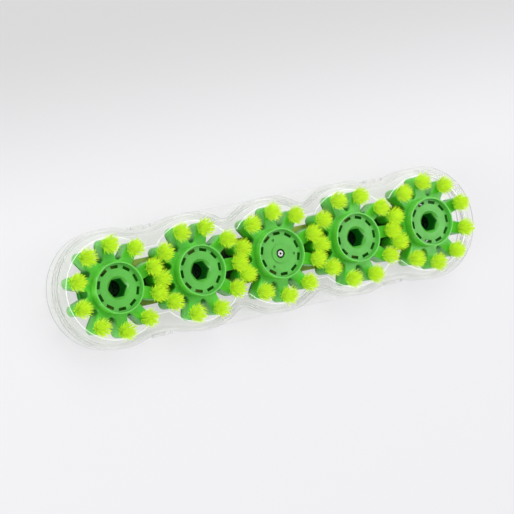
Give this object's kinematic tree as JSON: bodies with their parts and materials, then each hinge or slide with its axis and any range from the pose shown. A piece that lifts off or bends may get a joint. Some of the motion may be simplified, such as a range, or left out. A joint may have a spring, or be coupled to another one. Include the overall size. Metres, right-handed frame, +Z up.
{
  "type": "foot massage roller",
  "caption": "Foot massager with a row of green bristle-tipped petal wheels that mesh like gears and turn on upright axles in a clear lobed snap-together housing.",
  "frame": {"origin": "on the flat underside of the tray, below the axis of the middle wheel", "axes": "+X along the row of wheels, +Z up out of the bristles, so the part lies on its back"},
  "size_m": [0.2342, 0.0582, 0.0262],
  "materials": {
    "clear_plastic": "clear moulded",
    "petal_green": "satin moulded",
    "hub_green": "satin moulded",
    "carrier_olive": "satin moulded",
    "bristle": "fine bristles",
    "steel": "bright",
    "dark_steel": "blackened"
  },
  "bodies": {
    "housing": {"rear_tray": "clear_plastic", "front_cover": "clear_plastic", "axle_carrier": "carrier_olive", "axle_screws": "dark_steel", "centre_axle_pin": "steel", "retaining_ring": "dark_steel"},
    "wheel_1": {"petal_wheel_1": "petal_green", "hub_1": "hub_green", "bristle_tufts_1": "bristle"},
    "wheel_2": {"petal_wheel_2": "petal_green", "hub_2": "hub_green", "bristle_tufts_2": "bristle"},
    "wheel_3": {"petal_wheel_3": "petal_green", "hub_3": "hub_green", "bristle_tufts_3": "bristle"},
    "wheel_4": {"petal_wheel_4": "petal_green", "hub_4": "hub_green", "bristle_tufts_4": "bristle"},
    "wheel_5": {"petal_wheel_5": "petal_green", "hub_5": "hub_green", "bristle_tufts_5": "bristle"}
  },
  "joints": [
    {"name": "wheel_1_spin", "type": "hinge", "parent": "housing", "child": "wheel_1", "pos_m": [-0.088, 0, 0.0202], "axis": [0, 0, 1], "continuous": true},
    {"name": "wheel_2_spin", "type": "hinge", "parent": "housing", "child": "wheel_2", "pos_m": [-0.044, 0, 0.0202], "axis": [0, 0, 1], "continuous": true},
    {"name": "wheel_3_spin", "type": "hinge", "parent": "housing", "child": "wheel_3", "pos_m": [0, 0, 0.0202], "axis": [0, 0, 1], "continuous": true},
    {"name": "wheel_4_spin", "type": "hinge", "parent": "housing", "child": "wheel_4", "pos_m": [0.044, 0, 0.0202], "axis": [0, 0, 1], "continuous": true},
    {"name": "wheel_5_spin", "type": "hinge", "parent": "housing", "child": "wheel_5", "pos_m": [0.088, 0, 0.0202], "axis": [0, 0, 1], "continuous": true}
  ],
  "couplings": [
    {"joint": "wheel_1_spin", "follows": "wheel_3_spin", "ratio": 1},
    {"joint": "wheel_2_spin", "follows": "wheel_3_spin", "ratio": -1},
    {"joint": "wheel_4_spin", "follows": "wheel_3_spin", "ratio": -1},
    {"joint": "wheel_5_spin", "follows": "wheel_3_spin", "ratio": 1}
  ]
}
